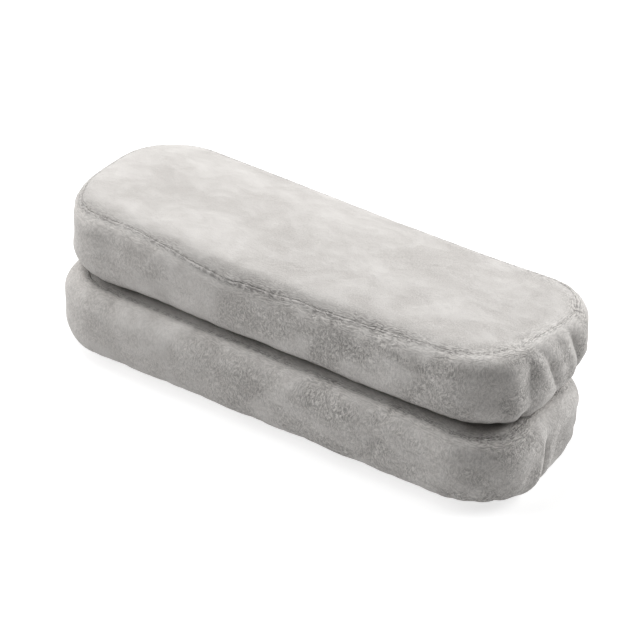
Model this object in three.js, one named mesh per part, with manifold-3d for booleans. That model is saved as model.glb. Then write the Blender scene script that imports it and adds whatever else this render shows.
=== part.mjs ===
// A pair of slip-over chair armrest pads, one stacked on the other.
//
// Each pad is a memory-foam slab in a plush cover. The cover is a top panel and a side band, sewn
// together round the top edge. The band turns under the foam and ends in a hem with an elastic in
// it, so the hem's mouth stretches over a chair's armrest and grips it from below. A lining panel,
// sewn inside the band, holds the foam up and lies on the armrest.
//
// Units are millimetres. +X runs along the pads, +Z is up. The origin is the centre of the lower
// pad's armrest seat, which is the face of its lining that lies on the armrest.
// Inside a pad, heights are measured from the hem's underside, and insets from the plan outline.

import * as THREE from "three";
import { mergeVertices } from "three/addons/utils/BufferGeometryUtils.js";
import Module from "manifold-3d";

const wasm = await Module();
wasm.setup();

// ---- Driving dimensions ----
const PAD_LENGTH = 270;
const PAD_WIDTH = 92;
const PAD_HEIGHT = 37.2;
const CORNER_RADIUS = 34;
const PLUSH = 1.5; // the cover's cloth with its pile
const LINING = 1; // the lining's knitted cloth
const THREAD_RADIUS = 0.3;
const CLEARANCE = 0.3; // between pieces that touch
const STACK_SHIFT = [-3, 9]; // how far the upper pad sits off the lower one, along X and Y

// ---- Side band, from the top seam to the hem ----
const SEAM_INSET = 6;
const SEAM_ALLOWANCE = 4; // how far the sewn edges hang down inside the seam
const SEAM_GROOVE = 0.8; // chamfer on each side of a seam, where its thread lies
const SHOULDER_DROP = 8;
const UNDER_RADIUS = 13;
const MOUTH_INSET = 22; // the hem's inner edge
const CHANNEL_HEIGHT = 1.6; // free height inside the hem's fold
const ALLOWANCE_TURN = 75; // degrees up the shoulder's inner face, where the allowance starts
const CLOSING_GAP = 1; // between the band's two sewn ends
const CLOSING_X = -60; // where those ends meet on the far side

// ---- Elastic, lining and foam ----
const ELASTIC_WIDTH = 6;
const ELASTIC_THICKNESS = 0.8;
const LINING_INSET = 5.2;
const LINING_STITCH = 0.55; // from the lining's edge out to its thread
const SEAT_DROP = 0.8; // how far the lining's middle sags into the mouth
const SEAT_INSET = MOUTH_INSET + 2.5;
const FOAM_INSET = 2.3;
const FOAM_TOP_CHAMFER = 10;
const FOAM_BASE_CHAMFER = 4;

// ---- Worked out from the above ----
const HEM_TOP = 2 * PLUSH + CHANNEL_HEIGHT;
const LINING_BASE = HEM_TOP + 2 * CLEARANCE;
const SEAT_HEIGHT = LINING_BASE - SEAT_DROP;
const FOAM_BASE = LINING_BASE + LINING + CLEARANCE;
const FOAM_TOP = PAD_HEIGHT - PLUSH - CLEARANCE;
const ALLOWANCE_BASE = PAD_HEIGHT - SEAM_ALLOWANCE;
const STACK_PITCH = PAD_HEIGHT + CLEARANCE;

// ---- Facets ----
const CORNER_STEPS = 6; // per quarter turn of the plan outline
const ARC_STEPS = 4; // per quarter turn of the band's section
const THREAD_SIDES = 5;

const OVERCUT = 1; // how far a cutting tool passes the face it cuts through

const MATERIALS = {
  plush: new THREE.MeshStandardMaterial({ color: 0xc9c5c0, roughness: 0.95, metalness: 0 }),
  lining: new THREE.MeshStandardMaterial({ color: 0xa9a6a2, roughness: 0.9, metalness: 0 }),
  foam: new THREE.MeshStandardMaterial({ color: 0xefe9d2, roughness: 0.85, metalness: 0 }),
  thread: new THREE.MeshStandardMaterial({ color: 0x9c9893, roughness: 0.7, metalness: 0 }),
  elastic: new THREE.MeshStandardMaterial({ color: 0xe6e4e0, roughness: 0.75, metalness: 0 }),
};

// ---- Solids ----

function toSolid(geometry) {
  const bare = geometry.clone();
  bare.deleteAttribute("normal");
  bare.deleteAttribute("uv");
  const merged = mergeVertices(bare, 1e-4);
  return new wasm.Manifold(
    new wasm.Mesh({
      numProp: 3,
      vertProperties: new Float32Array(merged.attributes.position.array),
      triVerts: new Uint32Array(merged.index.array),
    }),
  );
}

function toGeometry(solid) {
  const mesh = solid.getMesh();
  const geometry = new THREE.BufferGeometry();
  geometry.setAttribute("position", new THREE.BufferAttribute(mesh.vertProperties, 3));
  geometry.setIndex(new THREE.BufferAttribute(mesh.triVerts, 1));
  geometry.computeVertexNormals();
  return geometry;
}

// ---- The plan outline ----

// The four corner centres in clockwise order from the far right one, with the outward angle at
// which each corner starts.
const CORNERS = [
  [1, 1, Math.PI / 2],
  [1, -1, 0],
  [-1, -1, -Math.PI / 2],
  [-1, 1, -Math.PI],
].map(([sideX, sideY, startAngle]) => ({
  x: sideX * (PAD_LENGTH / 2 - CORNER_RADIUS),
  y: sideY * (PAD_WIDTH / 2 - CORNER_RADIUS),
  startAngle,
}));

function planShape(inset) {
  const shape = new THREE.Shape();
  for (const { x, y, startAngle } of CORNERS) {
    shape.absarc(x, y, CORNER_RADIUS - inset, startAngle, startAngle - Math.PI / 2, true);
  }
  return shape;
}

// A slab with the plan outline. Its upper and lower edges have the same chamfer.
function slab(inset, base, top, chamfer) {
  const geometry = new THREE.ExtrudeGeometry(planShape(inset), {
    depth: top - base - 2 * chamfer,
    curveSegments: CORNER_STEPS,
    bevelEnabled: chamfer > 0,
    bevelSize: chamfer,
    bevelThickness: chamfer,
    bevelOffset: -chamfer,
    bevelSegments: 1,
  });
  return geometry.translate(0, 0, base + chamfer);
}

// The outline as a path for rings: clockwise, open at the band's closing seam. It is sampled at
// its corners' facets only, so a straight stretch costs one step.
class OutlinePath extends THREE.Curve {
  constructor() {
    super();
    const farSide = PAD_WIDTH / 2;
    this.stations = [{ x: CLOSING_X + CLOSING_GAP / 2, y: farSide, outward: Math.PI / 2 }];
    for (const { x, y, startAngle } of CORNERS) {
      for (let step = 0; step <= CORNER_STEPS; step++) {
        const outward = startAngle - (step / CORNER_STEPS) * (Math.PI / 2);
        this.stations.push({
          x: x + CORNER_RADIUS * Math.cos(outward),
          y: y + CORNER_RADIUS * Math.sin(outward),
          outward,
        });
      }
    }
    this.stations.push({ x: CLOSING_X - CLOSING_GAP / 2, y: farSide, outward: Math.PI / 2 });
  }

  get steps() {
    return this.stations.length - 1;
  }

  getUtoTmapping(u) {
    return u;
  }

  getPoint(t, target = new THREE.Vector3()) {
    const { x, y } = this.stations[Math.round(t * this.steps)];
    return target.set(x, y, 0);
  }

  getTangent(t, target = new THREE.Vector3()) {
    const { outward } = this.stations[Math.round(t * this.steps)];
    return target.set(Math.sin(outward), -Math.cos(outward), 0);
  }
}

const OUTLINE_PATH = new OutlinePath();

// Sweeps a section round the outline. Its points are [offset, height], with the offset measured
// outwards from the outline. Along this path a shape's x runs down and its y runs outwards.
function ring(section) {
  const shape = new THREE.Shape(section.map(([offset, height]) => new THREE.Vector2(-height, offset)));
  return new THREE.ExtrudeGeometry(shape, { steps: OUTLINE_PATH.steps, extrudePath: OUTLINE_PATH });
}

// Section points on an arc of an ellipse. Angles are in degrees, anticlockwise from outwards.
function arc([offset, height], [radiusOut, radiusUp], from, to, steps) {
  return Array.from({ length: steps + 1 }, (_, step) => {
    const angle = THREE.MathUtils.degToRad(from + ((to - from) * step) / steps);
    return [offset + radiusOut * Math.cos(angle), height + radiusUp * Math.sin(angle)];
  });
}

function threadRing(inset, height) {
  const fullTurn = arc([-inset, height], [THREAD_RADIUS, THREAD_RADIUS], 0, 360, THREAD_SIDES);
  return ring(fullTurn.slice(0, -1));
}

// ---- The pieces of one pad ----

// One strip of plush: down from the seam, round under the foam, and folded back over the elastic.
function sideBand() {
  const shoulderOffset = -SEAM_INSET + SEAM_GROOVE;
  const shoulder = [shoulderOffset, PAD_HEIGHT - SHOULDER_DROP];
  const shoulderRadii = [-shoulderOffset, SHOULDER_DROP];
  const under = [-UNDER_RADIUS, UNDER_RADIUS];
  const foldInner = -MOUTH_INSET + PLUSH;
  const shoulderInner = shoulderRadii.map((radius) => radius - PLUSH);
  return ring([
    [-SEAM_INSET, ALLOWANCE_BASE],
    [-SEAM_INSET, PAD_HEIGHT - SEAM_GROOVE],
    ...arc(shoulder, shoulderRadii, 90, 0, ARC_STEPS),
    ...arc(under, [UNDER_RADIUS, UNDER_RADIUS], 0, -90, ARC_STEPS),
    [-MOUTH_INSET, 0],
    [-MOUTH_INSET, HEM_TOP],
    [-UNDER_RADIUS, HEM_TOP],
    [-UNDER_RADIUS, HEM_TOP - PLUSH],
    [foldInner, HEM_TOP - PLUSH],
    [foldInner, PLUSH],
    ...arc(under, [UNDER_RADIUS - PLUSH, UNDER_RADIUS - PLUSH], -90, 0, ARC_STEPS),
    ...arc(shoulder, shoulderInner, 0, ALLOWANCE_TURN, ARC_STEPS - 1),
    [-SEAM_INSET + PLUSH, ALLOWANCE_BASE],
  ]);
}

// A plush cap whose turned-down edge is its seam allowance.
function topPanel() {
  const inset = SEAM_INSET + CLEARANCE;
  const outside = toSolid(slab(inset, ALLOWANCE_BASE, PAD_HEIGHT, SEAM_GROOVE));
  const inside = toSolid(slab(inset + PLUSH, ALLOWANCE_BASE - OVERCUT, PAD_HEIGHT - PLUSH, 0));
  return toGeometry(outside.subtract(inside));
}

// The lining's middle sags into the mouth as a flat face, the armrest seat.
function liningPanel() {
  const sheet = toSolid(slab(LINING_INSET, LINING_BASE, LINING_BASE + LINING, 0));
  const seat = toSolid(slab(SEAT_INSET, SEAT_HEIGHT, LINING_BASE + LINING / 2, 0));
  return toGeometry(sheet.add(seat));
}

// The foam's upper edge is cut back further than its lower one, to clear the seam allowances.
function foamCore() {
  const upper = toSolid(slab(FOAM_INSET, FOAM_BASE - FOAM_TOP_CHAMFER, FOAM_TOP, FOAM_TOP_CHAMFER));
  const lower = toSolid(slab(FOAM_INSET, FOAM_BASE, FOAM_TOP + FOAM_BASE_CHAMFER, FOAM_BASE_CHAMFER));
  return toGeometry(upper.intersect(lower));
}

function hemElastic() {
  const outer = -MOUTH_INSET + PLUSH + CLEARANCE + ELASTIC_WIDTH;
  const base = PLUSH + (CHANNEL_HEIGHT - ELASTIC_THICKNESS) / 2;
  return ring([
    [outer, base],
    [outer, base + ELASTIC_THICKNESS],
    [outer - ELASTIC_WIDTH, base + ELASTIC_THICKNESS],
    [outer - ELASTIC_WIDTH, base],
  ]);
}

// An upright thread between the band's two sewn ends.
function closingSeamThread() {
  const length = PAD_HEIGHT - SHOULDER_DROP - UNDER_RADIUS;
  return new THREE.CylinderGeometry(THREAD_RADIUS, THREAD_RADIUS, length, 2 * THREAD_SIDES)
    .rotateX(Math.PI / 2)
    .translate(CLOSING_X, PAD_WIDTH / 2 - PLUSH / 2, UNDER_RADIUS + length / 2);
}

// ---- The pair ----

const TOP_SEAM = { inset: SEAM_INSET + CLEARANCE / 2, height: PAD_HEIGHT - THREAD_RADIUS };
const HEM_SEAM = { inset: UNDER_RADIUS - 2 * THREAD_RADIUS, height: HEM_TOP / 2 };
const LINING_SEAM = { inset: LINING_INSET - LINING_STITCH, height: LINING_BASE + LINING / 2 };

const PIECES = {
  foam_core: [foamCore(), MATERIALS.foam],
  lining_panel: [liningPanel(), MATERIALS.lining],
  lining_seam_thread: [threadRing(LINING_SEAM.inset, LINING_SEAM.height), MATERIALS.thread],
  cover_side_band: [sideBand(), MATERIALS.plush],
  closing_seam_thread: [closingSeamThread(), MATERIALS.thread],
  hem_elastic: [hemElastic(), MATERIALS.elastic],
  hem_seam_thread: [threadRing(HEM_SEAM.inset, HEM_SEAM.height), MATERIALS.thread],
  cover_top_panel: [topPanel(), MATERIALS.plush],
  top_seam_thread: [threadRing(TOP_SEAM.inset, TOP_SEAM.height), MATERIALS.thread],
};

function pad(prefix) {
  const group = new THREE.Group();
  for (const [piece, [geometry, material]] of Object.entries(PIECES)) {
    const mesh = new THREE.Mesh(geometry, material);
    mesh.name = `${prefix}_${piece}`;
    group.add(mesh);
  }
  return group;
}

const lowerPad = pad("lower");
lowerPad.position.set(0, 0, -SEAT_HEIGHT);

const upperPad = pad("upper");
upperPad.position.set(STACK_SHIFT[0], STACK_SHIFT[1], STACK_PITCH - SEAT_HEIGHT);

const armrestPads = new THREE.Group();
armrestPads.add(lowerPad, upperPad);

export default armrestPads;
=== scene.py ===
"""A pair of plush slip-over armrest pads, stacked on a white table.

Each pad is a foam slab in a sewn cover: a crowned top panel, and a side band that is sewn to it
round the top edge, turns under the foam and ends in a gathered elastic hem. Inside a pad the
shapes are in millimetres: x and y from the pad's centre, z up from the underside of its hem. A
point of a section is an offset, outwards from the plan outline, and a height.
"""

import math
from collections import namedtuple

import bmesh
import bpy
import numpy as np
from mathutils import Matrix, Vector


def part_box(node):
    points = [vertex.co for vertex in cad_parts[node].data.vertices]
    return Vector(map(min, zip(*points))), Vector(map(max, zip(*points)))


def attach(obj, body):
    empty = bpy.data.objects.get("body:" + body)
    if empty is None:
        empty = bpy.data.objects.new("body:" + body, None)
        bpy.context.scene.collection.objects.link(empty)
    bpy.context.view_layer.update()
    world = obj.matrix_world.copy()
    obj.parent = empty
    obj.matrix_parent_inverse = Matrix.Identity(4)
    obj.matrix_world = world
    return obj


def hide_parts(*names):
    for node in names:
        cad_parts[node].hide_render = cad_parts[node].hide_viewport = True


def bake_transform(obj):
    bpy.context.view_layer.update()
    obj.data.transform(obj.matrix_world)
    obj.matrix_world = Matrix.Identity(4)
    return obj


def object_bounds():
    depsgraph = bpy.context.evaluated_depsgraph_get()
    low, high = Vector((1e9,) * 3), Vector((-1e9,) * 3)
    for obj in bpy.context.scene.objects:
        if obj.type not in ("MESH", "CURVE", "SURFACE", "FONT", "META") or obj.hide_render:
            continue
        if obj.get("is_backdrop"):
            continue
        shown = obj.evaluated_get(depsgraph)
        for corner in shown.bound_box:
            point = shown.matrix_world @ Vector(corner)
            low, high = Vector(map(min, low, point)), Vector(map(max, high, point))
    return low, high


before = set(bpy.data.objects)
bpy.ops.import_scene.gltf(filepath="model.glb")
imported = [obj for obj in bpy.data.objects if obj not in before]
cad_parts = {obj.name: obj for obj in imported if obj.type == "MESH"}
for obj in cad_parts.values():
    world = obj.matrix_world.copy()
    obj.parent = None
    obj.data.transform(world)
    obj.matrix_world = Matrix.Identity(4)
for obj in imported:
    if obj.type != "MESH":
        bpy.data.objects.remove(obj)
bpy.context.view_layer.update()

MM = 0.001
PADS = ("lower", "upper")


def cad_size(node):
    """The lengths of a node's three sides in millimetres."""
    low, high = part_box(node)
    return [side / MM for side in high - low]


# ---- Driving dimensions ----
LENGTH, WIDTH, HEIGHT = cad_size("lower_cover_side_band")
CORNER_RADIUS = 34
UNDER_RADIUS = 13
TIGHTEST = 1.5  # the sharpest rounding of the cloth below the seam
BULGE = 0.4  # how far the sides swell at mid height

CLOTH = 1.2
TURN_RADIUS = 0.6  # how sharply the cloth turns in at a seam
ALLOWANCE = 3
SEAM_GAP = 0.3
MOUTH_INSET = 22
FOLD_RADIUS = 2.3
FLAP_EDGE = 13  # inset of the hem's free edge
CLOSING_X = -60

LINING = 1
LINING_INSET = 5.2
LINING_HEIGHT = 6.2  # its upper face
LINING_SAG = 0.8
LINING_RIPPLE = 0.25
FOAM_GAP = 0.7  # between the cover's cloth and the foam
FOAM_SIDE = 4.6  # how far inside the outline the foam's sides stand
FOAM_BASE = 6.5
FOAM_FOOT = 4  # the rounding at its foot
FOAM_SLACK = 0.4  # how much lower than the cover its top lies
ELASTIC_WIDTH = 5.6
ELASTIC_THICKNESS = 0.8
ELASTIC_RIPPLE = 0.12
ELASTIC_RIPPLE_STEP = 5.5

# What differs between the pads. Rim is the height of the flat top's edge, which lies edge_inset
# inside the outline, and top_radius the wide rounding outside it, down to the seam. Far_sag is how
# far the top drops along its far side. Seam_depth says how far down the rounding the seam lies, and
# seam_wander holds places round the outline, each with how far the seam strays and over what length.
# Pulls are places where the cover draws the foam in, with how far and over what length.
# A fold has its place from the right end's middle towards the far side, its depth, half width,
# how far its foot leans, the height that it starts at, and the share of its depth that is left at
# its foot. A dent has its place from the near side's middle, its height, depth, half width and
# half height.
Shape = namedtuple("Shape", (
    "seed rim top_radius edge_inset crown far_sag unevenness seam_depth seam_wander pulls folds dents"
))
SHAPES = {
    "lower": Shape(
        seed=1, rim=36.5, top_radius=12, edge_inset=11, crown=0.8, far_sag=0, unevenness=0.3,
        seam_depth=1.2, seam_wander=[(132, 4.2, 30), (300, 2, 50)], pulls=[(-128, 0.6, 25)],
        folds=[
            (-5, 2.3, 2.7, -12, 33, 0.8),
            (-10, -1.0, 3.5, -12, 28, 0.8),
            (22, 3.0, 24, 0, 36, 1),
            (-34, 0.5, 5, 0, 20, 0.5),
            (33, 1.3, 3.4, 2, 27, 0.3),
            (328, 1.6, 3.0, 4, 32, 0.3),
            (345, 1.2, 2.6, -5, 28, 0.3),
        ],
        dents=[(68, 19, 0.9, 3.2, 6), (-52, 22, 0.5, 9, 8), (20, 14, 0.4, 12, 7), (290, 18, 0.7, 8, 8)],
    ),
    "upper": Shape(
        seed=2, rim=37.4, top_radius=13, edge_inset=10, crown=1.4, far_sag=1.5, unevenness=1,
        seam_depth=6.5, seam_wander=[
            (-25, 4.8, 32), (30, 1.8, 30), (137, -6.2, 44), (-90, -1.8, 18), (500, 3, 45),
            (333, 4.5, 95),
        ],
        pulls=[(-140, 2.6, 17), (-188, 1.3, 30), (-112, 0.5, 15)],
        folds=[
            (-20.5, 2.2, 4.6, -1, 46, 0.3),
            (-4, 1.8, 3.0, 18, 46, 0.15),
            (16.5, 2.6, 3.1, 14, 48, 0.05),
            (-23, 1.6, 2.2, 0, 9, 1),
            (24, 2.6, 22, 0, 20, 1),
            (40, 1.2, 3.4, 3, 31, 0.2),
            (60, 0.9, 4.0, 2, 28, 0.3),
            (318, 1.8, 3.2, -6, 33, 0.2),
            (334, 1.4, 2.6, 3, 30, 0.2),
            (352, 1.9, 3.4, 8, 34, 0.2),
        ],
        dents=[
            (-96, 22, 0.8, 9, 7), (-58, 10, 0.9, 10, 6), (34, 20, 0.5, 8, 7), (92, 26, 0.7, 8, 6),
            (350, 20, 0.7, 9, 8),
        ],
    ),
}
GATHER_STEP = 11  # between the small gathers at the foot of the side
HEM_GATHER_STEP = 6.5
HEM_GATHER_DEPTH = 0.9
FOLDS_GROW = (1, 7)  # distances below the seam over which the band's folds come in
PUCKERS_GROW = (0, 1.5)  # and the same for the puckers on both sides of it
CHANNEL_FADE = 3  # how far either side of the hem's fold the band's relief fades

# Stitches, by their length, the step from one to the next, the thread's radius, and how far the
# ends of each one dip into the cloth.
Stitch = namedtuple("Stitch", "length pitch radius sink")
TOP_STITCH = Stitch(length=2.3, pitch=2.7, radius=0.22, sink=0.5)
HEM_STITCH = Stitch(length=2.6, pitch=3.2, radius=0.22, sink=0.6)
LINING_STITCH = Stitch(length=2.6, pitch=3.2, radius=0.2, sink=0.3)
CLOSING_STITCH = Stitch(length=2.2, pitch=2.8, radius=0.22, sink=0.5)
TOP_THREAD_DEPTH = 0.55  # how far the top seam's thread lies below the cover's face

# ---- Mesh density ----
STATIONS = 640
RINGS = 26
SIDE_ROWS = 52
TOP_EDGE_ROWS = 14
TOP_EDGE_REACH = 4.5  # how far onto the flat top those rows run
ELASTIC_ROWS = 7
THREAD_STATIONS = 900
STITCH_RINGS = 7
STITCH_SIDES = 6
MERGE_DISTANCE = 0.004
SLIVER = 0.001


# ---- Small helpers ----

def smooth(x, low, high):
    """0 before low, 1 after high, and a smooth step between."""
    t = np.clip((x - low) / (high - low), 0, 1)
    return t * t * (3 - 2 * t)


def hump(x, centre, width):
    """A smooth rise to 1 at the centre, that fades to about a third at its width."""
    return np.exp(-(((x - centre) / width) ** 2))


def unit(vectors):
    """The vectors, each brought to length 1."""
    return vectors / np.linalg.norm(vectors, axis=-1, keepdims=True)


def relief(points, size, seed, count=28):
    """Smooth random relief, about -1 to 1, with features of about this size in millimetres."""
    rng = np.random.default_rng(seed)
    total = np.zeros(points.shape[:-1])
    for _ in range(count):
        direction = rng.normal(size=3)
        direction *= 2 * math.pi / (np.linalg.norm(direction) * size * rng.uniform(0.8, 2.2))
        total += np.sin(points @ direction + rng.uniform(0, 2 * math.pi))
    return total / math.sqrt(2 * count)


# ---- The plan outline ----
# A rounded rectangle, measured by the distance s along it, anticlockwise from the middle of the
# near side. A point on it is the corner radius out from a point that slides along the inner
# rectangle, and stands still at its corners.

INNER_X = LENGTH / 2 - CORNER_RADIUS
INNER_Y = WIDTH / 2 - CORNER_RADIUS
QUARTER_TURN = CORNER_RADIUS * math.pi / 2
KNOTS = np.cumsum([
    0, INNER_X, QUARTER_TURN, 2 * INNER_Y, QUARTER_TURN,
    2 * INNER_X, QUARTER_TURN, 2 * INNER_Y, QUARTER_TURN, INNER_X,
])
KNOT_X = INNER_X * np.array([0, 1, 1, 1, 1, -1, -1, -1, -1, 0])
KNOT_Y = INNER_Y * np.array([-1, -1, -1, 1, 1, 1, 1, -1, -1, -1])
KNOT_ANGLE = np.radians([-90, -90, 0, 0, 90, 90, 180, 180, 270, 270])
PERIMETER = KNOTS[-1]
RIGHT_END = PERIMETER / 4
LEFT_END = PERIMETER * 3 / 4
CLOSING_SEAM = PERIMETER / 2 - CLOSING_X


def outline(s):
    """The inner point and the outward direction at s."""
    s = np.mod(s, PERIMETER)
    angle = np.interp(s, KNOTS, KNOT_ANGLE)
    inner = np.stack([np.interp(s, KNOTS, KNOT_X), np.interp(s, KNOTS, KNOT_Y)], -1)
    return inner, np.stack([np.cos(angle), np.sin(angle)], -1)


def swept(s, sections):
    """Puts the section points [offset, height] of each station s in space."""
    inner, outward = outline(s)
    reach = CORNER_RADIUS + sections[..., 0]
    plan = inner[:, None] + outward[:, None] * reach[..., None]
    return np.concatenate([plan, sections[..., 1:]], -1)


def inset_of(x, y):
    """How far a point in plan lies inside the outline."""
    beyond_x = np.abs(x) - INNER_X
    beyond_y = np.abs(y) - INNER_Y
    outside = np.hypot(np.maximum(beyond_x, 0), np.maximum(beyond_y, 0))
    return CORNER_RADIUS - outside - np.minimum(np.maximum(beyond_x, beyond_y), 0)


def around(s, centre):
    """Signed distance along the outline from a centre."""
    return np.mod(s - centre + PERIMETER / 2, PERIMETER) - PERIMETER / 2


def to_spine(s, edge, steps):
    """Rows of points from an edge to the pad's long middle line, without the edge itself."""
    inner, outward = outline(s)
    plan = inner + outward * CORNER_RADIUS
    squeeze = 0.8 - 0.1 * (plan[:, 1] / WIDTH) ** 2
    spine = np.stack([plan[:, 0] * squeeze, np.zeros_like(s), edge[:, 2]], -1)
    share = np.linspace(0, 1, steps + 1)[None, 1:, None]
    return edge[:, None] * (1 - share) + spine[:, None] * share


# ---- The section ----

def seam_place(pad, s):
    """How far down the section the seam lies."""
    shape = SHAPES[pad]
    place = np.full_like(s, shape.seam_depth)
    for centre, amount, width in shape.seam_wander:
        place += amount * hump(around(s, centre), 0, width)
    edge = swept(s, np.zeros((len(s), 1, 2)))[:, 0]
    return place + 0.35 * relief(edge, 12, 61 + shape.seed)


def roundings(pad, s):
    """Above the seam the section follows the wide rounding, and below it a tighter one that ends
    upright at the outline. Gives the angle where they meet and the tighter one's radius."""
    shape = SHAPES[pad]
    sharpest = math.asin((shape.edge_inset - TIGHTEST) / (shape.top_radius - TIGHTEST))
    meet = np.clip(seam_place(pad, s) / shape.top_radius, 0, sharpest)
    tight = (shape.edge_inset - shape.top_radius * np.sin(meet)) / (1 - np.sin(meet))
    return meet[:, None], tight[:, None]


def envelope(pad, s, t):
    """The pad's outer section at each station s, at distances t down it from the edge of the flat
    top: round the top edge, down the side, and in under the pad."""
    shape = SHAPES[pad]
    meet, tight = roundings(pad, s)
    wide_end = shape.top_radius * meet
    side_start = wide_end + tight * (math.pi / 2 - meet)
    side_length = side_end_height(pad, meet, tight) - UNDER_RADIUS
    under_start = side_start + side_length

    wide = np.clip(t / shape.top_radius, 0, meet)
    bend = meet + np.clip((t - wide_end) / tight, 0, math.pi / 2 - meet)
    side = np.clip(t - side_start, 0, side_length)
    under = np.clip((t - under_start) / UNDER_RADIUS, 0, math.pi / 2)
    flat = np.maximum(t - under_start - UNDER_RADIUS * math.pi / 2, 0)

    offset = np.minimum(t, 0) - shape.edge_inset + shape.top_radius * np.sin(wide)
    offset += tight * (np.sin(bend) - np.sin(meet))
    offset -= UNDER_RADIUS * (1 - np.cos(under)) + flat
    height = shape.rim - shape.top_radius * (1 - np.cos(wide))
    height -= tight * (np.cos(meet) - np.cos(bend)) + side + UNDER_RADIUS * np.sin(under)
    return np.stack([offset, height], -1)


def side_end_height(pad, meet, tight):
    """The height where the rounding ends and the upright side starts."""
    shape = SHAPES[pad]
    return shape.rim - shape.top_radius * (1 - np.cos(meet)) - tight * np.cos(meet)


def hem_start(pad, s):
    """How far down the section the hem's fold starts."""
    meet, tight = roundings(pad, s)
    rounded = SHAPES[pad].top_radius * meet + tight * (math.pi / 2 - meet)
    upright = side_end_height(pad, meet, tight) - UNDER_RADIUS
    under = UNDER_RADIUS * (math.pi / 2 - 1) + MOUTH_INSET - FOLD_RADIUS
    return (rounded + upright + under)[:, 0]


def seam_frame(pad, s):
    """The seam's section point, and the directions down the section and into the pad."""
    place = seam_place(pad, s)[:, None] + np.array([[-0.05, 0, 0.05]])
    before, seam, after = np.moveaxis(envelope(pad, s, place), 1, 0)
    down = unit(after - before)
    into = np.stack([down[:, 1], -down[:, 0]], -1)
    return seam, down, into


def turned_edge(pad, s, side, steps=7):
    """The cloth's turn into the seam and its allowance, from the allowance's edge out to the outer
    surface. Side is 1 below the seam and -1 above it."""
    seam, down, into = seam_frame(pad, s)
    away = side * down[:, None]
    into = into[:, None]
    depth = np.linspace(ALLOWANCE, TURN_RADIUS, 4)[None, :-1, None]
    straight = seam[:, None] + away * SEAM_GAP / 2 + into * depth
    turn = np.linspace(math.pi / 2, 0, steps)[None, :, None]
    arc = (
        seam[:, None]
        + away * (SEAM_GAP / 2 + TURN_RADIUS * (1 - np.sin(turn)))
        + into * TURN_RADIUS * (1 - np.cos(turn))
    )
    return np.concatenate([straight, arc], 1)


def spread(first, last, steps):
    """Evenly spaced values at each station from first to last, without the first."""
    share = np.linspace(0, 1, steps + 1)[None, 1:]
    return first[:, None] * (1 - share) + last[:, None] * share


def arc_points(centre, radius, start, end, steps):
    """Section points on an arc. Angles are in degrees, anticlockwise from outwards."""
    angle = np.radians(np.linspace(start, end, steps))
    return np.stack([centre[0] + radius * np.cos(angle), centre[1] + radius * np.sin(angle)], -1)


def line_points(start, end, steps):
    """Section points between two ends, leaving both out."""
    share = np.linspace(0, 1, steps + 2)[1:-1, None]
    return np.array(start) * (1 - share) + np.array(end) * share


def hem_section():
    """The hem, from its fold to its free edge inside the cover."""
    centre = (-MOUTH_INSET + FOLD_RADIUS, FOLD_RADIUS)
    flap_height = 2 * FOLD_RADIUS
    return np.concatenate([
        arc_points(centre, FOLD_RADIUS, -90, -270, 9)[1:],
        line_points((centre[0], flap_height), (-FLAP_EDGE, flap_height), 4),
        [(-FLAP_EDGE, flap_height)],
    ])


def across(sections):
    """Distance down each section from its first point."""
    steps = np.linalg.norm(np.diff(sections, axis=1), axis=-1)
    return np.concatenate([np.zeros((len(sections), 1)), np.cumsum(steps, 1)], 1)


def push_out(sections, amount):
    """Moves section points out of the cloth's outer face."""
    along = unit(np.gradient(sections, axis=1))
    normal = np.stack([-along[..., 1], along[..., 0]], -1)
    return sections + normal * amount[..., None]


def swelling(pad, s, height):
    """How far the sides stand out from the plain section, at heights for each station s."""
    bulge = BULGE * np.sin(math.pi * np.clip(height / HEIGHT, 0, 1)) ** 2
    for centre, amount, width in SHAPES[pad].pulls:
        bulge -= amount * hump(around(s, centre), 0, width)[:, None] * smooth(height, 3, 20)
    return bulge


def crown_lift(pad, points):
    """How far the top rises above its rim, or drops along the far side, at points in space. It
    fades out half way down the sides."""
    shape = SHAPES[pad]
    x, y, height = np.moveaxis(points, -1, 0)
    inside = (inset_of(x, y) - shape.edge_inset) / (WIDTH / 2 - shape.edge_inset)
    crown = shape.crown * (1 - (1 - np.clip(inside, 0, 1)) ** 2)
    sag = shape.far_sag * smooth(y, WIDTH * 0.2, WIDTH / 2) * smooth(-x, -LENGTH * 0.42, -LENGTH * 0.2)
    return (crown - sag) * smooth(height, shape.rim * 0.35, shape.rim * 0.8)


# ---- Folds and dents in the side band ----

def folds(pad, s, height):
    """How far the named folds draw the band in: a pointed valley between two soft ridges."""
    total = np.zeros_like(height)
    for place, depth, width, lean, start, left in SHAPES[pad].folds:
        grown = smooth(-height, -start, -start * 0.5)
        foot = left + (1 - left) * smooth(height, 0, start * 0.4)
        distance = around(s, RIGHT_END + place)[:, None] - lean * (0.5 - height / HEIGHT)
        valley = np.exp(-np.abs(distance / width) ** 1.6)
        ridges = hump(np.abs(distance), 2.0 * width, 0.9 * width)
        total += depth * grown * foot * (0.3 * ridges - valley)
    return total


def dents(pad, s, height):
    """How far the shallow dents draw the band in."""
    total = np.zeros_like(height)
    for place, middle, depth, width, reach in SHAPES[pad].dents:
        total -= depth * hump(around(s, place), 0, width)[:, None] * hump(height, middle, reach)
    return total


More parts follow.
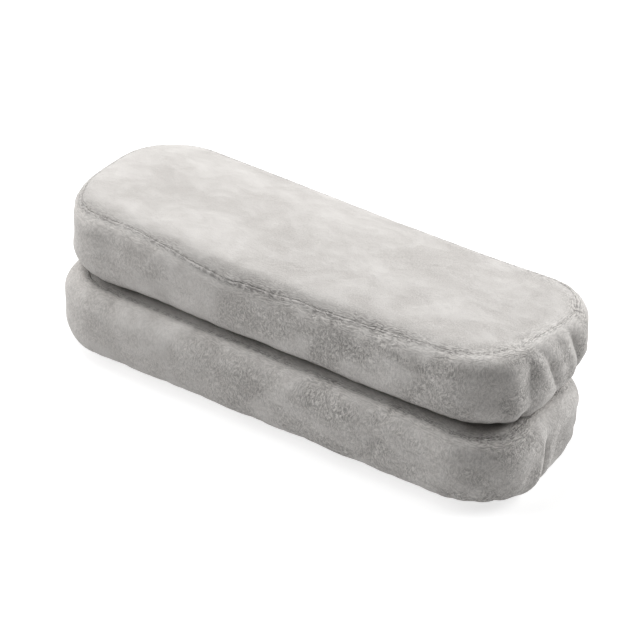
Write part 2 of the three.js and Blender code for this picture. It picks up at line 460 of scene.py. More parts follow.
def gathers(pad, s, height):
    """Small gathers that the elastic makes at the foot of the side, stronger round the ends."""
    rng = np.random.default_rng(10 + SHAPES[pad].seed)
    places = np.arange(0, PERIMETER, GATHER_STEP)
    total = np.zeros_like(height)
    for place in places + rng.uniform(-3, 3, len(places)):
        at_an_end = min(abs(around(place, RIGHT_END)), abs(around(place, LEFT_END))) < 70
        depth = rng.uniform(0.2, 0.5) if at_an_end else rng.uniform(0.1, 0.25)
        start = rng.uniform(7, 16)
        width = rng.uniform(2.0, 3.2)
        grown = smooth(-height, -start, -1.5)
        total -= depth * grown * hump(around(s, place), 0, width)[:, None]
    return total


def hem_gathers(pad, s, offset):
    """Fine gathers under the pad, deepest beside the elastic, at offsets from the outline."""
    edge = swept(s, np.zeros((len(s), 1, 2)))[:, 0]
    drift = 1.6 * relief(edge, 40, 71 + SHAPES[pad].seed)
    turns = round(PERIMETER / HEM_GATHER_STEP)
    wave = 0.5 - 0.5 * np.cos(2 * math.pi * turns * s / PERIMETER + drift)
    uneven = 0.75 + 0.25 * relief(edge, 15, 74 + SHAPES[pad].seed)
    return -HEM_GATHER_DEPTH * (wave * uneven)[:, None] * smooth(-offset, 7, 19)


def waves(pad, points):
    """Slow unevenness of the cloth over the foam."""
    seed = SHAPES[pad].seed
    return 0.5 * relief(points, 34, 2 + seed) + 0.22 * relief(points, 13, 6 + seed)


def closing_groove(s):
    """The closing seam's narrow groove, with a low ridge on both sides of it."""
    distance = around(s, CLOSING_SEAM)
    return 0.25 * hump(np.abs(distance), 3.2, 1.6) - 0.9 * hump(distance, 0, 1.1)


def puckers(pad, points, from_seam):
    """The cloth's fine ripples beside the seam."""
    seed = SHAPES[pad].seed
    fine = relief(points, 3.6, 30 + seed) * hump(from_seam, 2.0, 2.2)
    broad = relief(points, 7, 33 + seed) * hump(from_seam, 4.0, 5.0)
    return 0.1 * fine + 0.2 * broad


# ---- Meshes ----

def grid_normals(points, wrap):
    """Outward directions at a grid of points. Wrap joins its last row to its first."""
    if wrap:
        along = np.roll(points, -1, 0) - np.roll(points, 1, 0)
    else:
        along = np.gradient(points, axis=0)
    normal = np.cross(along, np.gradient(points, axis=1))
    length = np.linalg.norm(normal, axis=-1, keepdims=True)
    return normal / np.maximum(length, 1e-9)


def grid_faces(rows, columns, wrap, first, flip):
    """The quads of a grid whose vertices are numbered row by row from first."""
    row = np.arange(rows if wrap else rows - 1)[:, None]
    column = np.arange(columns - 1)[None, :]
    after = (row + 1) % rows
    corners = [
        row * columns + column,
        after * columns + column,
        after * columns + column + 1,
        row * columns + column + 1,
    ]
    faces = np.stack(corners, -1).reshape(-1, 4) + first
    return faces[:, ::-1] if flip else faces


def edge_strip(outer, inner):
    """Quads between two runs of vertices."""
    return np.stack([outer[:-1], outer[1:], inner[1:], inner[:-1]], -1)


def sheet(name, outer, thickness, cloth, ring):
    """A closed sheet of cloth below a grid of outer points. Thickness is one number or one for
    each point. Cloth holds the coordinates that the material follows. Ring is "open" for a strip
    with two ends, "band" for one that closes on itself, and "disc" for one whose inner edge also
    meets itself on a line."""
    rows, columns = outer.shape[:2]
    wrap = ring != "open"
    normals = grid_normals(outer, wrap)
    if ring == "disc":
        normals[:, -1] = (0, 0, 1)
    inner = outer - normals * np.expand_dims(np.broadcast_to(thickness, (rows, columns)), -1)
    count = rows * columns
    number = np.arange(count).reshape(rows, columns)
    loop = np.append(np.arange(rows), 0) if wrap else np.arange(rows)
    faces = [
        grid_faces(rows, columns, wrap, 0, False),
        grid_faces(rows, columns, wrap, count, True),
        edge_strip(number[loop, 0], number[loop, 0] + count),
    ]
    if ring != "disc":
        faces.append(edge_strip(number[loop, -1], number[loop, -1] + count))
    if ring == "open":
        faces.append(edge_strip(number[0], number[0] + count))
        faces.append(edge_strip(number[-1], number[-1] + count))
    points = np.concatenate([outer.reshape(-1, 3), inner.reshape(-1, 3)])
    return new_object(name, points, np.concatenate(faces), np.tile(cloth.reshape(-1, 3), (2, 1)))


def new_object(name, points, faces, cloth):
    """A closed mesh from points in millimetres. Points that meet are merged."""
    mesh = bpy.data.meshes.new(name)
    mesh.from_pydata((points * MM).tolist(), [], faces.tolist())
    mesh.attributes.new("cloth", "FLOAT_VECTOR", "POINT")
    mesh.attributes["cloth"].data.foreach_set("vector", cloth.astype(np.float32).ravel())
    work = bmesh.new()
    work.from_mesh(mesh)
    bmesh.ops.remove_doubles(work, verts=work.verts, dist=MERGE_DISTANCE * MM)
    bmesh.ops.dissolve_degenerate(work, edges=work.edges, dist=SLIVER * MM)
    bmesh.ops.recalc_face_normals(work, faces=work.faces)
    work.to_mesh(mesh)
    work.free()
    return add_piece(name, mesh)


def add_piece(name, mesh):
    """Puts a mesh in the scene, shaded smooth."""
    mesh.polygons.foreach_set("use_smooth", [True] * len(mesh.polygons))
    piece = bpy.data.objects.new(name, mesh)
    bpy.context.scene.collection.objects.link(piece)
    return piece


# ---- The pieces of one pad ----

def cover_thickness(from_seam):
    """The cover's cloth is pressed thinner where it turns into the seam."""
    return CLOTH * (0.45 + 0.55 * smooth(from_seam, 0, 3))


def band_stations():
    """From one side of the closing seam round to the other, closer together near it."""
    near = SEAM_GAP / 2 + 9 * np.linspace(0, 1, 14)[:-1] ** 1.5
    between = np.linspace(9.2, PERIMETER - 9.2, STATIONS)
    return CLOSING_SEAM + np.concatenate([near, between, PERIMETER - near[::-1]])


def band_sections(pad, s):
    """The side band's plain section at each station, how far down from the seam each of its points
    lies, and how far it is inside the elastic's channel, from 0 to 1."""
    turned = turned_edge(pad, s, side=1)
    first = seam_place(pad, s) + SEAM_GAP / 2 + TURN_RADIUS
    side = envelope(pad, s, spread(first, hem_start(pad, s), SIDE_ROWS))
    hem = hem_section()
    sections = np.concatenate([turned, side, np.broadcast_to(hem, (len(s), *hem.shape))], 1)
    distance = across(sections)
    seam_column = turned.shape[1] - 1
    hem_column = seam_column + side.shape[1]
    down = distance - distance[:, seam_column:seam_column + 1]
    past_fold = distance - distance[:, hem_column:hem_column + 1]
    return sections, down, smooth(past_fold, -CHANNEL_FADE, CHANNEL_FADE)


def band_relief(pad, s, sections, down, in_channel):
    """How far the band stands out of its plain section, and how far the folds, dents and gathers
    alone draw it in. The channel holds the cloth flatter."""
    height = sections[..., 1]
    flat = swept(s, sections)
    drawn = folds(pad, s, height) + dents(pad, s, height) + gathers(pad, s, height)
    amount = smooth(down, *FOLDS_GROW) * (1 - 0.85 * in_channel) * (drawn + waves(pad, flat))
    under = height < SHAPES[pad].rim / 2
    amount += under * hem_gathers(pad, s, sections[..., 0]) * (1 - 0.6 * in_channel)
    amount += puckers(pad, flat, np.maximum(down, 0)) * smooth(down, *PUCKERS_GROW) * (1 - in_channel)
    amount += closing_groove(s)[:, None] * smooth(down, 0, 4) * (1 - in_channel)
    return amount, drawn


def band_surface(pad, s):
    """The side band's outer points, and its cloth coordinates."""
    sections, down, in_channel = band_sections(pad, s)
    amount, drawn = band_relief(pad, s, sections, down, in_channel)
    sections = push_out(sections, amount)
    sections[..., 0] += swelling(pad, s, sections[..., 1]) * smooth(sections[..., 0], -30, -12)
    sections[..., 1] = np.maximum(sections[..., 1], 0)
    outer = swept(s, sections)
    outer[..., 2] += crown_lift(pad, outer)
    along = np.broadcast_to(s[:, None], down.shape)
    # The third part is how far the folds draw the cloth in, which the plush darkens as painted shade.
    cloth = np.stack([along, down, drawn * smooth(down, *FOLDS_GROW)], -1)
    return outer, cloth


def side_band(pad):
    """The strip of plush round the pad, from the top seam down to the free edge of its hem."""
    outer, cloth = band_surface(pad, band_stations())
    return sheet(f"{pad}_cover_side_band", outer, cover_thickness(cloth[..., 1]), cloth, "open")


def top_panel(pad):
    """The crowned plush top, with its edge turned down into the seam."""
    shape = SHAPES[pad]
    step = PERIMETER / STATIONS
    s = step * (np.arange(STATIONS) + round(CLOSING_SEAM / step))
    turned = turned_edge(pad, s, side=-1)
    first = seam_place(pad, s) - SEAM_GAP / 2 - TURN_RADIUS
    rounding = envelope(pad, s, spread(first, np.full_like(s, -TOP_EDGE_REACH), TOP_EDGE_ROWS))
    sections = np.concatenate([turned, rounding], 1)
    sections[..., 0] += swelling(pad, s, sections[..., 1])
    edge = swept(s, sections)
    outer = np.concatenate([edge, to_spine(s, edge[:, -1], RINGS)], 1)
    distance = across(outer)
    seam_column = turned.shape[1] - 1
    inward = distance - distance[:, seam_column:seam_column + 1]

    lift = 0.3 * relief(outer, 40, 16 + shape.seed) + 0.12 * relief(outer, 15, 18 + shape.seed)
    lift = shape.unevenness * lift * smooth(inward, 3, 16)
    lift += puckers(pad, outer, np.maximum(inward, 0)) * smooth(inward, *PUCKERS_GROW)
    outer[..., 2] += lift + crown_lift(pad, outer)
    along = np.broadcast_to(s[:, None], inward.shape)
    cloth = np.stack([along, -inward, np.zeros_like(inward)], -1)
    return sheet(f"{pad}_cover_top_panel", outer, cover_thickness(inward), cloth, "disc")


def lining_panel(pad):
    """The knitted cloth under the foam, which sags a little in the hem's mouth."""
    s = np.linspace(0, PERIMETER, STATIONS // 2, endpoint=False)
    edge = swept(s, np.tile([-LINING_INSET, LINING_HEIGHT], (len(s), 1, 1)).astype(float))
    outer = np.concatenate([edge, to_spine(s, edge[:, 0], RINGS + 12)], 1)
    x, y = outer[..., 0], outer[..., 1]
    in_mouth = smooth(inset_of(x, y), MOUTH_INSET - 1, MOUTH_INSET + 3)
    ripple = LINING_RIPPLE * relief(outer, 16, 40 + SHAPES[pad].seed)
    outer[..., 2] -= in_mouth * (LINING_SAG - LINING_RIPPLE + ripple)
    return sheet(f"{pad}_lining_panel", outer, LINING, outer.copy(), "disc")


def foam_core(pad):
    """The foam slab, as big as the cover lets it be."""
    shape = SHAPES[pad]
    s = np.linspace(0, PERIMETER, STATIONS // 2, endpoint=False)
    gap = CLOTH + FOAM_GAP
    rounding = shape.edge_inset - gap
    shoulder = (-FOAM_SIDE - rounding, shape.rim - gap - FOAM_SLACK - rounding)
    section = np.concatenate([
        arc_points((-FOAM_SIDE - FOAM_FOOT, FOAM_BASE + FOAM_FOOT), FOAM_FOOT, -90, 0, 8),
        line_points((-FOAM_SIDE, FOAM_BASE + FOAM_FOOT), (-FOAM_SIDE, shoulder[1]), 6),
        arc_points(shoulder, rounding, 0, 90, 10),
    ])
    wall = swept(s, np.broadcast_to(section, (len(s), *section.shape)))
    top = to_spine(s, wall[:, -1], RINGS)
    base = to_spine(s, wall[:, 0], RINGS)[:, ::-1]
    points = np.concatenate([base, wall, top], 1)
    points[..., 2] += crown_lift(pad, points)
    faces = grid_faces(len(s), points.shape[1], True, 0, False)
    return new_object(f"{pad}_foam_core", points.reshape(-1, 3), faces, points.reshape(-1, 3))


def hem_elastic(pad):
    """A ribbed ribbon, gathered inside the hem."""
    s = np.linspace(0, PERIMETER, STATIONS, endpoint=False)
    turns = round(PERIMETER / ELASTIC_RIPPLE_STEP)
    ripple = ELASTIC_RIPPLE * np.sin(2 * math.pi * s / PERIMETER * turns)
    share = np.linspace(0, 1, ELASTIC_ROWS)[None, :]
    inner_edge = -MOUTH_INSET + FOLD_RADIUS + 0.1
    offset = np.broadcast_to(inner_edge + ELASTIC_WIDTH * share, (len(s), ELASTIC_ROWS))
    height = FOLD_RADIUS + ELASTIC_THICKNESS / 2 + ripple[:, None] + 0 * offset
    outer = swept(s, np.stack([offset, height], -1))
    cloth = np.stack([np.broadcast_to(s[:, None], offset.shape), offset, height], -1)
    return sheet(f"{pad}_hem_elastic", outer, ELASTIC_THICKNESS, cloth, "band")


# ---- Stitches ----

def stitch_frames(path, up, stitch):
    """The middle line of each stitch along a path, with its directions across and out of the
    cloth. A stitch rises from the cloth and dips back."""
    steps = np.linalg.norm(np.diff(path, axis=0), axis=1)
    run = np.concatenate([[0], np.cumsum(steps)])
    middles = np.arange(stitch.pitch / 2, run[-1] - stitch.pitch / 2, stitch.pitch)
    t = np.linspace(-1, 1, STITCH_RINGS)
    where = middles[:, None] + t[None] * stitch.length / 2
    centre = np.stack([np.interp(where, run, path[:, i]) for i in range(3)], -1)
    above = unit(np.stack([np.interp(where, run, up[:, i]) for i in range(3)], -1))
    centre = centre - above * (stitch.sink * t[None, :, None] ** 2)
    along = unit(np.gradient(centre, axis=1))
    beside = unit(np.cross(above, along))
    return centre, beside, np.cross(along, beside)


def stitch_faces(count):
    """The quads round each stitch, and the faces that close its ends, all facing outwards."""
    shape = (count, STITCH_RINGS, STITCH_SIDES)
    number = np.arange(math.prod(shape)).reshape(shape)
    turned = np.roll(number, -1, 2)
    tubes = np.stack([number[:, :-1], turned[:, :-1], turned[:, 1:], number[:, 1:]], -1)
    ends = np.concatenate([number[:, 0, ::-1], number[:, -1]])
    return tubes.reshape(-1, 4).tolist() + ends.tolist()


def stitches(name, path, up, stitch):
    """Short round threads along a path, thinner at their ends."""
    centre, beside, rise = stitch_frames(path, up, stitch)
    t = np.linspace(-1, 1, STITCH_RINGS)
    thick = stitch.radius * np.sqrt(np.clip(1.02 - t**2, 0.04, 1))[None, :, None, None]
    angle = (2 * math.pi * np.arange(STITCH_SIDES) / STITCH_SIDES)[None, None, :, None]
    ring = beside[:, :, None] * np.cos(angle) + rise[:, :, None] * np.sin(angle)
    points = centre[:, :, None] + ring * thick
    mesh = bpy.data.meshes.new(name)
    mesh.from_pydata((points.reshape(-1, 3) * MM).tolist(), [], stitch_faces(len(centre)))
    return add_piece(name, mesh)


def section_path(s, sections, normals):
    """A path in space through one section point per station, with its upward directions."""
    _, outward = outline(s)
    up = np.concatenate([outward * normals[:, :1], normals[:, 1:]], -1)
    return swept(s, sections[:, None])[:, 0], up


def top_seam_thread(pad):
    """The stitches sunk in the seam between the top panel and the side band."""
    s = np.linspace(0, PERIMETER, THREAD_STATIONS)
    seam, _, into = seam_frame(pad, s)
    seam = seam + into * TOP_THREAD_DEPTH
    seam[:, 0] += swelling(pad, s, seam[:, 1:])[:, 0]
    path, up = section_path(s, seam, -into)
    path[:, 2] += crown_lift(pad, path)
    return stitches(f"{pad}_top_seam_thread", path, up, TOP_STITCH)


def hem_seam_thread(pad):
    """The stitches under the pad that close the hem over the elastic."""
    s = np.linspace(0, PERIMETER, THREAD_STATIONS)
    place = np.tile([-FLAP_EDGE - 1.2, 0.0], (len(s), 1))
    flat = swept(s, place[:, None])
    level = np.zeros((len(s), 1))
    drawn = folds(pad, s, level) + gathers(pad, s, level) + waves(pad, flat)
    drawn += hem_gathers(pad, s, place[:, None, 0])
    place[:, 1] = np.maximum(-drawn[:, 0], 0) + 0.05
    down = np.tile([0.0, -1.0], (len(s), 1))
    path, up = section_path(s, place, down)
    return stitches(f"{pad}_hem_seam_thread", path, up, HEM_STITCH)


def lining_seam_thread(pad):
    """The stitches along the lining's edge."""
    s = np.linspace(0, PERIMETER, THREAD_STATIONS)
    place = np.tile([-LINING_INSET + 0.5, LINING_HEIGHT - LINING / 2], (len(s), 1))
    upward = np.tile([0.0, 1.0], (len(s), 1))
    path, up = section_path(s, place, upward)
    return stitches(f"{pad}_lining_seam_thread", path, up, LINING_STITCH)


def closing_seam_thread(pad):
    """Upright stitches in the groove between the band's two ends."""
    outer, _ = band_surface(pad, np.array([CLOSING_SEAM]))
    height = outer[0, :, 2]
    below_seam = height < SHAPES[pad].rim - SHAPES[pad].edge_inset - 1
    on_side = outer[0, :, 1] > WIDTH / 2 - UNDER_RADIUS / 2
    path = outer[0, below_seam & on_side] - (0, 0.1, 0)
    up = np.tile([0.0, 1.0, 0.0], (len(path), 1))
    return stitches(f"{pad}_closing_seam_thread", path, up, CLOSING_STITCH)


# ---- Materials ----

class Shader:
    """A material's node tree, with short ways to add nodes."""

    def __init__(self, name):
        self.material = bpy.data.materials.new(name)
        self.material.use_nodes = True
        self.tree = self.material.node_tree
        self.surface = self.tree.nodes["Principled BSDF"]

    def node(self, kind, **settings):
        """A new node with these settings."""
        made = self.tree.nodes.new(kind)
        for key, value in settings.items():
            setattr(made, key, value)
        return made

    def set(self, socket, value):
        """Links an output to a socket, or sets its plain value."""
        if isinstance(value, bpy.types.NodeSocket):
            self.tree.links.new(value, socket)
        else:
            socket.default_value = value

    def fill(self, node, keys, values):
        """Sets a node's inputs, by name or number, and gives the node back."""
        for key, value in zip(keys, values):
            self.set(node.inputs[key], value)
        return node

    def finish(self, **inputs):
        """Sets the surface's inputs, by their names with _ for a space."""
        self.fill(self.surface, [key.replace("_", " ") for key in inputs], inputs.values())
        return self.material

    def cloth(self):
        """Millimetres along the seam and down from it, and how far a fold draws the cloth in."""
        return self.node("ShaderNodeAttribute", attribute_name="cloth").outputs["Vector"]

    def space(self, scale=(1, 1, 1)):
        """Millimetres in the object, stretched."""
        place = self.node("ShaderNodeTexCoord").outputs["Object"]
        return self.vector("MULTIPLY", place, [factor / MM for factor in scale])

    def split(self, vector):
        """A vector's three parts."""
        return self.fill(self.node("ShaderNodeSeparateXYZ"), [0], [vector]).outputs

    def vector(self, operation, *values):
        """Arithmetic on vectors."""
        made = self.node("ShaderNodeVectorMath", operation=operation)
        return self.fill(made, range(len(values)), values).outputs[0]

    def math(self, operation, *values):
        """Arithmetic on numbers."""
        made = self.node("ShaderNodeMath", operation=operation)
        return self.fill(made, range(len(values)), values).outputs[0]

    def noise(self, vector, detail=2.0, roughness=0.5, distortion=0.0, output="Fac"):
        """Noise with features about one unit of the vector apart."""
        made = self.node("ShaderNodeTexNoise", noise_dimensions="3D")
        names = ("Vector", "Scale", "Detail", "Roughness", "Distortion")
        return self.fill(made, names, (vector, 1.0, detail, roughness, distortion)).outputs[output]

    def between(self, value, low, high, to_low=0.0, to_high=1.0):
        """A smooth step of a value, from to_low at low to to_high at high."""
        made = self.node("ShaderNodeMapRange", interpolation_type="SMOOTHSTEP")
        names = ("Value", "From Min", "From Max", "To Min", "To Max")
        return self.fill(made, names, (value, low, high, to_low, to_high)).outputs["Result"]

    def mix(self, factor, a, b, blend_type="MIX"):
        """From colour a to colour b."""
        made = self.node("ShaderNodeMix", data_type="RGBA", blend_type=blend_type)
        return self.fill(made, ("Factor", 6, 7), (factor, a, b)).outputs[2]

    def blend(self, factor, a, b):
        """From number a to number b."""
        made = self.node("ShaderNodeMix", data_type="FLOAT")
        return self.fill(made, ("Factor", 2, 3), (factor, a, b)).outputs[0]

    def bands(self, vector, direction, scale, distortion=0.0):
        """Parallel bands across a direction."""
        made = self.node("ShaderNodeTexWave", wave_type="BANDS", bands_direction=direction)
        names = ("Vector", "Scale", "Distortion")
        return self.fill(made, names, (vector, scale, distortion)).outputs["Fac"]

    def bump(self, height, distance, strength=1.0, below=None):
        """A bump of this depth in millimetres, on top of another one if it is given."""
        made = self.node("ShaderNodeBump")
        self.fill(made, ("Height", "Distance", "Strength"), (height, distance * MM, strength))
        if below is not None:
            self.set(made.inputs["Normal"], below)
        return made.outputs["Normal"]


PLUSH_DARK = (0.455, 0.436, 0.418, 1)
PLUSH_LIGHT = (0.58, 0.562, 0.543, 1)
SEAM_ZONE = 8.0  # how far from the seam the pile lies along it
NEAR_EDGE_PAINTED_SHADE = 0.24  # painted shade: how much darker the colour is made on the near side, where its top rolls over to the seam
NEAR_SIDE_PAINTED_LIGHT = 0.33  # painted light: how much lighter the near side's band is made below the seam than that painted shade
SEAM_GROOVE_PAINTED_SHADE = 0.25  # painted shade: how dark the colour is made in dashes along the seam's groove, between strokes of pile


def plush_pile(shader, cloth, near_seam, on_top):
    """The pile's fine pattern: upright waves on the band, strokes that lie along the seam close to
    it, and fuzz on the top. Gives the strokes, the fuzz, and the three together."""
    wander = shader.noise(shader.space((1 / 5, 1 / 5, 1 / 5)), output="Color")
    swayed = shader.vector("MULTIPLY_ADD", wander, (6, 2.5, 0), cloth)
    upright = shader.noise(shader.vector("MULTIPLY", swayed, (1.15, 0.5, 0)), detail=3, roughness=0.85)
    lying = shader.noise(shader.vector("MULTIPLY", swayed, (0.36, 1.5, 0)), detail=1, roughness=0.7)
    fuzz = shader.noise(shader.space((1.5, 1.5, 1.5)), roughness=0.7)
    combed = shader.blend(near_seam, upright, lying)
    return lying, fuzz, shader.blend(on_top, combed, fuzz)


def pile_strength(shader, patches, near_seam, on_top, brushed):
    """How much the pile shows: less in smooth patches, near the seam, on the top, and towards the
    left end, where it is brushed smooth."""
    strength = shader.between(patches, 0.62, 0.4, 0.4, 1.0)
    for place, elsewhere, there in ((on_top, 1.0, 0.2), (near_seam, 1.0, 0.7), (brushed, 1.1, 0.5)):
        strength = shader.math("MULTIPLY", strength, shader.blend(place, elsewhere, there))
    return strength


def plush_shade(shader, pile, strength, drawn, down, near_side, lying):
    """What the pile, the painted shade in the creases, the painted shade and light on the near side
    beside the seam, and the painted shade along the seam's line do to the colour, as one factor."""
    speck = shader.between(pile, 0.37, 0.63, -0.38, 0.34)
    shade = shader.math("MULTIPLY_ADD", speck, strength, 1.0)
    # Painted shade in the folds' valleys, partly the pile parting there: the colour darkens to 0.8
    # where a fold draws the cloth in 2.4 mm.
    crease_shade = shader.between(drawn, -0.4, -2.4, 1.0, 0.8)
    # Painted shade and light on the near side only: darker over the last 18 mm of the top before the
    # seam, lighter again on the band below it.
    painted_edge_shade = shader.between(down, -18.0, -1.0, 0.0, -NEAR_EDGE_PAINTED_SHADE)
    below = shader.between(down, -0.5, 3.0, 0.0, NEAR_SIDE_PAINTED_LIGHT)
    near_side_shading = shader.math("MULTIPLY_ADD", shader.math("ADD", painted_edge_shade, below), near_side, 1.0)
    # Painted shade in the seam's groove, broken into dashes by the pile's lying strokes.
    groove_shade_dashes = shader.between(lying, 0.56, 0.42, 0.0, SEAM_GROOVE_PAINTED_SHADE)
    line = shader.math("MULTIPLY", groove_shade_dashes, shader.between(shader.math("ABSOLUTE", down), 1.2, 0.3))
    for factor in (crease_shade, near_side_shading, shader.math("SUBTRACT", 1.0, line)):
        shade = shader.math("MULTIPLY", shade, factor)
    return shade


def plush():
    """Short crystal plush, mottled by slow brushed patches."""
    shader = Shader("plush")
    cloth = shader.cloth()
    _, down, drawn = shader.split(cloth)
    x, y, _ = shader.split(shader.space())
    near_seam = shader.between(shader.math("ABSOLUTE", down), SEAM_ZONE, 1.5)
    on_top = shader.between(down, -1.0, -9.0)
    # The near side, where shade and light beside the seam are painted.
    near_side = shader.between(y, -WIDTH * 0.1, -WIDTH * 0.4)
    brushed = shader.between(x, 60.0, -95.0)

    wide = shader.space((1 / 38, 1 / 25, 1 / 25))
    narrow = shader.space((1 / 12, 1 / 9, 1 / 9))
    patches = shader.noise(wide, detail=4, roughness=0.55, distortion=0.8)
    streaks = shader.noise(narrow, detail=3, roughness=0.55, distortion=0.5)
    lying, fuzz, pile = plush_pile(shader, cloth, near_seam, on_top)
    strength = pile_strength(shader, patches, near_seam, on_top, brushed)

    tone = shader.math("MULTIPLY_ADD", patches, 0.65, -0.08)
    tone = shader.math("MULTIPLY_ADD", streaks, 0.4, tone)
    colour = shader.mix(shader.between(tone, 0.27, 0.68), PLUSH_DARK, PLUSH_LIGHT)
    shade = plush_shade(shader, pile, strength, drawn, down, near_side, lying)

    nap = shader.bump(patches, 3.0, 0.3)
    ripple = shader.bump(streaks, 1.6, 0.35, nap)
    strokes = shader.bump(pile, 0.9, strength, ripple)
    return shader.finish(
        Base_Color=shader.mix(1.0, colour, shade, "MULTIPLY"),
        Normal=shader.bump(fuzz, 0.3, 0.4, strokes),
        Roughness=shader.between(pile, 0.3, 0.7, 0.82, 0.98),
        Specular_IOR_Level=0.12,
        Sheen_Weight=0.3,
        Sheen_Roughness=0.45,
        Sheen_Tint=(0.95, 0.935, 0.92, 1),
    )


def knit():
    """The lining: fine knitted loops in columns."""
    shader = Shader("lining")
    cloth = shader.cloth()
    wales = shader.bands(cloth, "Y", 0.42, 0.6)
    courses = shader.bands(cloth, "X", 0.55, 1.2)
    loops = shader.math("MULTIPLY", wales, courses)
    cloudy = shader.noise(shader.space((1 / 18, 1 / 18, 1 / 18)), detail=3)
    tone = shader.math("MULTIPLY_ADD", cloudy, 0.5, 0.1)
    colour = shader.mix(tone, (0.33, 0.32, 0.305, 1), (0.52, 0.505, 0.485, 1))
    shade = shader.between(loops, 0.0, 0.7, 0.78, 1.05)
    return shader.finish(
        Base_Color=shader.mix(1.0, colour, shade, "MULTIPLY"),
        Normal=shader.bump(loops, 0.35, 0.8),
        Roughness=0.88,
        Sheen_Weight=0.2,
    )


def foam():
    """Memory foam: fine open cells."""
    shader = Shader("foam")
    cells = shader.node("ShaderNodeTexVoronoi", feature="F1")
    shader.fill(cells, ("Vector", "Scale"), (shader.space((1.1, 1.1, 1.1)), 1.0))
    cloudy = shader.noise(shader.space((0.05, 0.05, 0.05)), detail=3)
    pores = shader.between(cells.outputs["Distance"], 0.05, 0.5)
    colour = shader.mix(cloudy, (0.72, 0.66, 0.48, 1), (0.86, 0.82, 0.68, 1))
    shade = shader.between(pores, 0.0, 1.0, 0.8, 1.0)
    return shader.finish(
        Base_Color=shader.mix(1.0, colour, shade, "MULTIPLY"),
        Normal=shader.bump(pores, 0.3, 0.6),
        Roughness=0.9,
    )


def thread():
    """Twisted polyester thread, darker than the cloth it sinks into."""
    shader = Shader("thread")
    twist = shader.bands(shader.space(), "DIAGONAL", 1.6)
    return shader.finish(
        Base_Color=shader.mix(twist, (0.27, 0.255, 0.24, 1), (0.42, 0.4, 0.38, 1)),
        Normal=shader.bump(twist, 0.08, 0.6),
        Roughness=0.55,
    )


def elastic():
    """Braided elastic: lengthwise rubber ribs under a white braid."""
    shader = Shader("elastic")
    cloth = shader.cloth()
    weave = shader.math("MULTIPLY", shader.bands(cloth, "Y", 0.32), shader.bands(cloth, "X", 0.4))
    return shader.finish(
        Base_Color=shader.mix(weave, (0.58, 0.56, 0.53, 1), (0.82, 0.81, 0.78, 1)),
        Normal=shader.bump(weave, 0.2, 0.7),
        Roughness=0.7,
    )


MATERIALS = {
    "plush": plush(),
    "lining": knit(),
    "foam": foam(),
    "thread": thread(),
    "elastic": elastic(),
}


# ---- The pair ----

BUILDERS = {
    "foam_core": (foam_core, "foam"),
    "lining_panel": (lining_panel, "lining"),
    "lining_seam_thread": (lining_seam_thread, "thread"),
    "cover_side_band": (side_band, "plush"),
    "closing_seam_thread": (closing_seam_thread, "thread"),
    "hem_elastic": (hem_elastic, "elastic"),
    "hem_seam_thread": (hem_seam_thread, "thread"),
    "cover_top_panel": (top_panel, "plush"),
    "top_seam_thread": (top_seam_thread, "thread"),
}
# What gives when the top is pressed.
GIVING_PARTS = (
    "foam_core",
    "cover_side_band",
    "closing_seam_thread",
    "cover_top_panel",
    "top_seam_thread",
)


def place_pad(pad):
    """Puts a pad's pieces in place. The giving parts keep their place baked into their meshes, and the
    others are attached to the pad's body."""
    low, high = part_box(f"{pad}_cover_side_band")
    origin = Vector(((low.x + high.x) / 2, (low.y + high.y) / 2, low.z))
    for part, (build, slot) in BUILDERS.items():
        node = f"{pad}_{part}"
        piece = build(pad)
        piece.name = f"{node}_sewn"
        piece.data.materials.append(MATERIALS[slot])
        piece.location = origin
        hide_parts(node)
        if part in GIVING_PARTS:
            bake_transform(piece)
        else:
            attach(piece, f"{pad}_pad")


for pad_name in PADS:
    place_pad(pad_name)


# ---- The table, the light and the camera ----

# The table's colour and glow, as the camera sees them and as they light the pads.
TABLE_SEEN, TABLE_BOUNCE = 0.5, 0.35
TABLE_GLOW_SEEN, TABLE_GLOW = 0.68, 0.42
CAMERA_AZIMUTH, CAMERA_ELEVATION = 36.7, 32.3
CAMERA_DISTANCE = 2.551
CAMERA_LENS = 300
AIM_ABOVE = 0.0004  # the camera aims this far over the lower pad's side band, in metres
AIM_RIGHT, AIM_UP = 0.0007, 0.0012  # and this far to the side of it in its view
# Turn is how far round from the camera a lamp stands, in degrees.
Lamp = namedtuple("Lamp", "name turn elevation distance size power")
LAMPS = (
    Lamp("overhead", turn=-145, elevation=62, distance=1.25, size=0.95, power=12.3),
    Lamp("left", turn=-100, elevation=30, distance=2.0, size=1.2, power=24),
    Lamp("right", turn=107, elevation=28, distance=2.0, size=1.2, power=40),
)


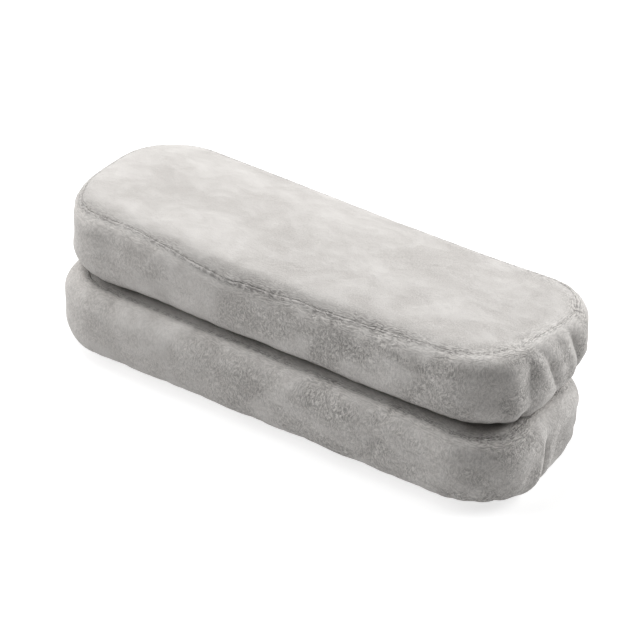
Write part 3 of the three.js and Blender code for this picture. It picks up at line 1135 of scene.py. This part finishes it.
def table_top():
    """A white table that glows a little, as on a light box, so its shadows are pale. From below it
    lets the camera through, so that the underside can be seen."""
    low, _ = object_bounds()
    bpy.ops.mesh.primitive_plane_add(size=8, location=(0, 0, low.z - 0.0001))
    floor = bpy.context.object
    floor.name = "table_top"
    shader = Shader("table_white")
    seen = shader.node("ShaderNodeLightPath").outputs["Is Camera Ray"]
    shader.finish(
        Base_Color=shader.mix(seen, (TABLE_BOUNCE,) * 3 + (1,), (TABLE_SEEN,) * 3 + (1,)),
        Emission_Color=(1, 1, 1, 1),
        Emission_Strength=shader.blend(seen, TABLE_GLOW, TABLE_GLOW_SEEN),
        Roughness=1.0,
        Specular_IOR_Level=0.0,
    )
    backfacing = shader.node("ShaderNodeNewGeometry").outputs["Backfacing"]
    clear = shader.node("ShaderNodeBsdfTransparent").outputs[0]
    either = shader.node("ShaderNodeMixShader")
    shader.fill(either, range(3), (backfacing, shader.surface.outputs[0], clear))
    shader.set(shader.tree.nodes["Material Output"].inputs["Surface"], either.outputs[0])
    floor.data.materials.append(shader.material)
    floor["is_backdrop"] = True


def direction(azimuth, elevation):
    """Towards a viewer. Azimuth 0 stands at -Y and 90 at +X, in degrees."""
    a, e = math.radians(azimuth), math.radians(elevation)
    return Vector((math.sin(a) * math.cos(e), -math.cos(a) * math.cos(e), math.sin(e)))


def stand(thing, towards, distance, target):
    """Puts a light or camera at a distance from a target, facing it."""
    thing.location = target + towards * distance
    thing.rotation_mode = "QUATERNION"
    thing.rotation_quaternion = (-towards).to_track_quat("-Z", "Y")
    bpy.context.scene.collection.objects.link(thing)


def softbox(lamp):
    """A square area light that faces the pads. It lights them but can't be seen itself."""
    area = bpy.data.lights.new(lamp.name, "AREA")
    area.shape = "SQUARE"
    area.size = lamp.size
    area.energy = lamp.power
    light = bpy.data.objects.new(lamp.name, area)
    light.visible_camera = False
    towards = direction(CAMERA_AZIMUTH + lamp.turn, lamp.elevation)
    stand(light, towards, lamp.distance, Vector((0, 0, 0)))


def camera():
    """A long lens that sees the pads from above their near right-hand corner."""
    back = direction(CAMERA_AZIMUTH, CAMERA_ELEVATION)
    right = Vector((0, 0, 1)).cross(back).normalized()
    up = back.cross(right)
    _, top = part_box("lower_cover_side_band")
    aim = Vector((0, 0, top.z + AIM_ABOVE)) + right * AIM_RIGHT + up * AIM_UP
    lens = bpy.data.cameras.new("camera")
    lens.lens = CAMERA_LENS
    lens.sensor_width = 36
    lens.clip_end = 20
    made = bpy.data.objects.new("camera", lens)
    stand(made, back, CAMERA_DISTANCE, aim)
    bpy.context.scene.camera = made


def surroundings(seen, lit):
    """White where the camera looks past the table, dimmer as a source of light."""
    world = bpy.data.worlds.new("studio")
    bpy.context.scene.world = world
    world.use_nodes = True
    tree = world.node_tree
    path = tree.nodes.new("ShaderNodeLightPath")
    level = tree.nodes.new("ShaderNodeMix")
    tree.links.new(path.outputs["Is Camera Ray"], level.inputs["Factor"])
    level.inputs[2].default_value = lit
    level.inputs[3].default_value = seen
    background = tree.nodes["Background"]
    background.inputs["Color"].default_value = (1, 1, 1, 1)
    tree.links.new(level.outputs[0], background.inputs["Strength"])


table_top()
for studio_lamp in LAMPS:
    softbox(studio_lamp)
surroundings(seen=1.0, lit=0.06)
camera()
bpy.context.scene.view_settings.view_transform = "Standard"
